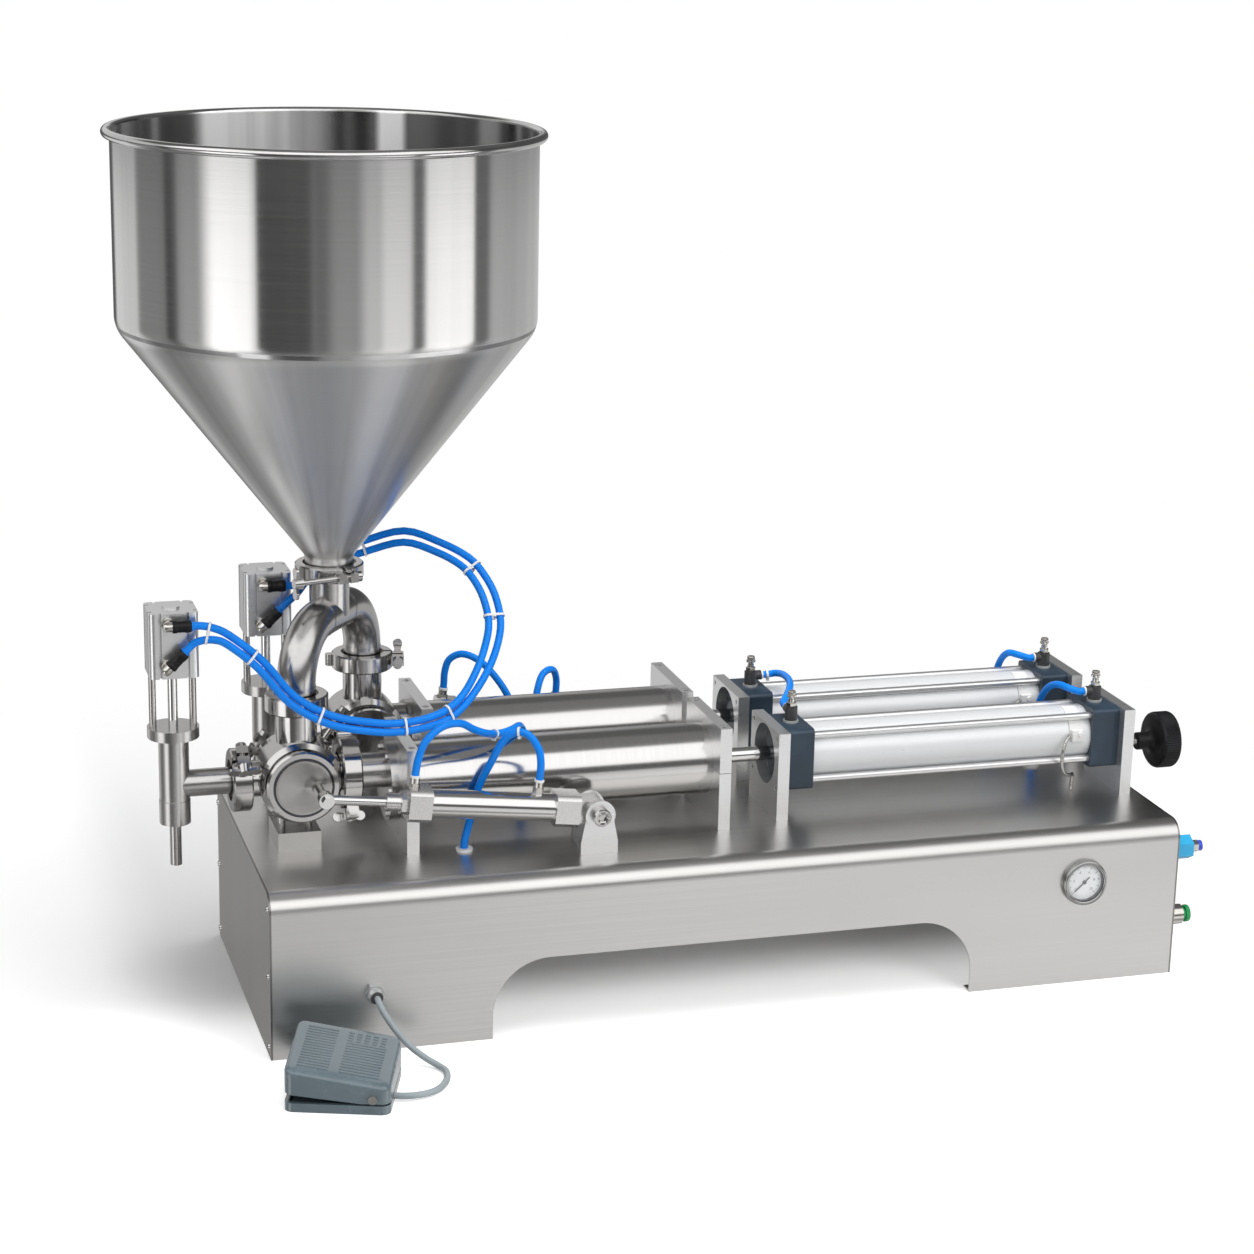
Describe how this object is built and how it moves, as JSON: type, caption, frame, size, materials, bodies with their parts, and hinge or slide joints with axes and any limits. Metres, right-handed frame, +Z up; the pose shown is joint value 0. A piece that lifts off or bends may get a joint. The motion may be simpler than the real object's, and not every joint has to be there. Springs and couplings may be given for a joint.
{
  "type": "pneumatic paste filling machine",
  "caption": "Bench-top piston filler: open conical hopper, two pneumatic filling lines with rotary valves and nozzles on a steel cabinet, with a foot pedal.",
  "frame": {"origin": "on the floor, under the middle of the cabinet", "axes": "+X along the cylinders, away from the nozzles; +Y to the back; +Z up"},
  "size_m": [1.1784, 0.5936, 0.91],
  "materials": {
    "cabinet_steel": "brushed lengthwise",
    "polished_steel": "polished",
    "hopper_steel": "satin, rolled sheet",
    "aluminium": "satin anodised",
    "navy_paint": "semi-gloss",
    "piston_plastic": "machined",
    "black_rubber": "matt",
    "black_plastic": "fine grain",
    "nickel": "nickel plated",
    "gauge_window": "clear",
    "inlet_blue": "gloss",
    "button_green": "gloss",
    "pedal_grey": "enamel",
    "light_plastic": "moulded",
    "cord_grey": "matt",
    "hose_blue": "flexible hose"
  },
  "bodies": {
    "machine": {"base_cover": "cabinet_steel", "end_panels": "cabinet_steel", "panel_screws": "polished_steel", "control_valves": "aluminium", "barrel_cradles": "aluminium", "barrel_caps": "aluminium", "air_plates": "aluminium", "product_barrels": "polished_steel", "barrel_heads": "polished_steel", "rod_bushes": "polished_steel", "air_caps": "navy_paint", "air_barrels": "aluminium", "tie_rods": "polished_steel", "flow_controllers": "black_plastic", "position_sensors": "aluminium", "hopper": "hopper_steel", "hopper_clamp": "polished_steel", "manifold": "polished_steel", "valve_clamps": "polished_steel", "front_valve_body": "polished_steel", "rear_valve_body": "polished_steel", "valve_supports": "polished_steel", "nozzle_bodies": "polished_steel", "nozzle_cylinders": "aluminium", "nozzle_fittings": "black_plastic", "actuator_brackets": "aluminium", "gauge_case": "polished_steel", "gauge_glass": "gauge_window", "air_inlet": "inlet_blue", "button_collar": "nickel", "pedal_base": "pedal_grey", "pedal_pin": "polished_steel", "cable_glands": "light_plastic", "pedal_cord": "cord_grey", "nozzle_hoses": "hose_blue", "actuator_hoses": "hose_blue", "cylinder_hoses": "hose_blue"},
    "front_ram": {"front_pistons": "piston_plastic", "front_piston_rod": "polished_steel", "front_piston_seals": "black_rubber"},
    "rear_ram": {"rear_pistons": "piston_plastic", "rear_piston_rod": "polished_steel", "rear_piston_seals": "black_rubber"},
    "front_core": {"front_valve_core": "polished_steel"},
    "rear_core": {"rear_valve_core": "polished_steel"},
    "front_actuator": {"front_valve_actuator": "aluminium"},
    "rear_actuator": {"rear_valve_actuator": "aluminium"},
    "front_actuator_rod": {"front_actuator_rod": "polished_steel"},
    "rear_actuator_rod": {"rear_actuator_rod": "polished_steel"},
    "front_plunger": {"front_nozzle_plunger": "polished_steel"},
    "rear_plunger": {"rear_nozzle_plunger": "polished_steel"},
    "stop": {"stroke_stop": "polished_steel"},
    "handwheel": {"stroke_handwheel": "black_plastic"},
    "front_left_screw": {"front_left_knob": "nickel"},
    "front_right_screw": {"front_right_knob": "nickel"},
    "rear_left_screw": {"rear_left_knob": "nickel"},
    "rear_right_screw": {"rear_right_knob": "nickel"},
    "needle": {"gauge_needle": "black_plastic"},
    "button": {"start_button": "button_green"},
    "pedal": {"pedal_cover": "pedal_grey"}
  },
  "joints": [
    {"name": "front_piston_slide", "type": "slide", "parent": "machine", "child": "front_ram", "axis": [1, 0, 0], "range_m": [0, 0.24]},
    {"name": "front_valve_turn", "type": "hinge", "parent": "machine", "child": "front_core", "pos_m": [-0.445, -0.025, 0.25], "axis": [0, 1, 0], "range_deg": [0, 90]},
    {"name": "front_actuator_swing", "type": "hinge", "parent": "machine", "child": "front_actuator", "pos_m": [-0.145, -0.104, 0.217], "axis": [0, 1, 0], "range_deg": [-3.2, 0.05], "deforming": ["actuator_hoses"]},
    {"name": "front_actuator_extend", "type": "slide", "parent": "front_actuator", "child": "front_actuator_rod", "axis": [-0.9939, 0, 0.1106], "range_m": [-0.0002, 0.0163]},
    {"name": "front_nozzle_lift", "type": "slide", "parent": "machine", "child": "front_plunger", "axis": [0, 0, 1], "range_m": [0, 0.02]},
    {"name": "rear_piston_slide", "type": "slide", "parent": "machine", "child": "rear_ram", "axis": [1, 0, 0], "range_m": [0, 0.24]},
    {"name": "rear_valve_turn", "type": "hinge", "parent": "machine", "child": "rear_core", "pos_m": [-0.349, 0.113, 0.25], "axis": [0, 1, 0], "range_deg": [0, 90]},
    {"name": "rear_actuator_swing", "type": "hinge", "parent": "machine", "child": "rear_actuator", "pos_m": [-0.049, 0.192, 0.217], "axis": [0, 1, 0], "range_deg": [-3.2, 0.05], "deforming": ["actuator_hoses"]},
    {"name": "rear_actuator_extend", "type": "slide", "parent": "rear_actuator", "child": "rear_actuator_rod", "axis": [-0.9939, 0, 0.1106], "range_m": [-0.0002, 0.0163]},
    {"name": "rear_nozzle_lift", "type": "slide", "parent": "machine", "child": "rear_plunger", "axis": [0, 0, 1], "range_m": [0, 0.02]},
    {"name": "handwheel_turn", "type": "hinge", "parent": "stop", "child": "handwheel", "pos_m": [0.5, -0.025, 0.22], "axis": [1, 0, 0], "range_deg": [-1980, 7200]},
    {"name": "stop_feed", "type": "slide", "parent": "machine", "child": "stop", "axis": [1, 0, 0], "range_m": [-0.0111, 0.0401]},
    {"name": "front_left_flow_turn", "type": "hinge", "parent": "machine", "child": "front_left_screw", "pos_m": [0.098, -0.025, 0.29], "axis": [0, 0, 1], "range_deg": [-720, 720]},
    {"name": "front_right_flow_turn", "type": "hinge", "parent": "machine", "child": "front_right_screw", "pos_m": [0.46, -0.025, 0.29], "axis": [0, 0, 1], "range_deg": [-720, 720]},
    {"name": "rear_left_flow_turn", "type": "hinge", "parent": "machine", "child": "rear_left_screw", "pos_m": [0.098, 0.113, 0.29], "axis": [0, 0, 1], "range_deg": [-720, 720]},
    {"name": "rear_right_flow_turn", "type": "hinge", "parent": "machine", "child": "rear_right_screw", "pos_m": [0.46, 0.113, 0.29], "axis": [0, 0, 1], "range_deg": [-720, 720]},
    {"name": "gauge_needle_turn", "type": "hinge", "parent": "machine", "child": "needle", "pos_m": [0.388, -0.175, 0.116], "axis": [0, 1, 0], "range_deg": [0, 270], "stiffness_Nm_per_rad": 0.0002, "springref_deg": -34.38},
    {"name": "start_button_press", "type": "slide", "parent": "machine", "child": "button", "axis": [-1, 0, 0], "range_m": [0, 0.004], "stiffness_N_per_m": 500, "springref_m": -0.004},
    {"name": "pedal_press", "type": "hinge", "parent": "machine", "child": "pedal", "pos_m": [-0.4255, -0.32261, 0.016], "axis": [-0.3173, -0.9483, 0], "range_deg": [0, 5], "stiffness_Nm_per_rad": 10, "springref_deg": -3.44}
  ],
  "couplings": [
    {"joint": "front_actuator_swing", "follows": "front_valve_turn", "ratio": -0.034544},
    {"joint": "front_actuator_extend", "follows": "front_valve_turn", "m_per_rad": 0.010226},
    {"joint": "rear_actuator_swing", "follows": "rear_valve_turn", "ratio": -0.034544},
    {"joint": "rear_actuator_extend", "follows": "rear_valve_turn", "m_per_rad": 0.010226},
    {"joint": "stop_feed", "follows": "handwheel_turn", "m_per_rad": 0.00031831}
  ]
}
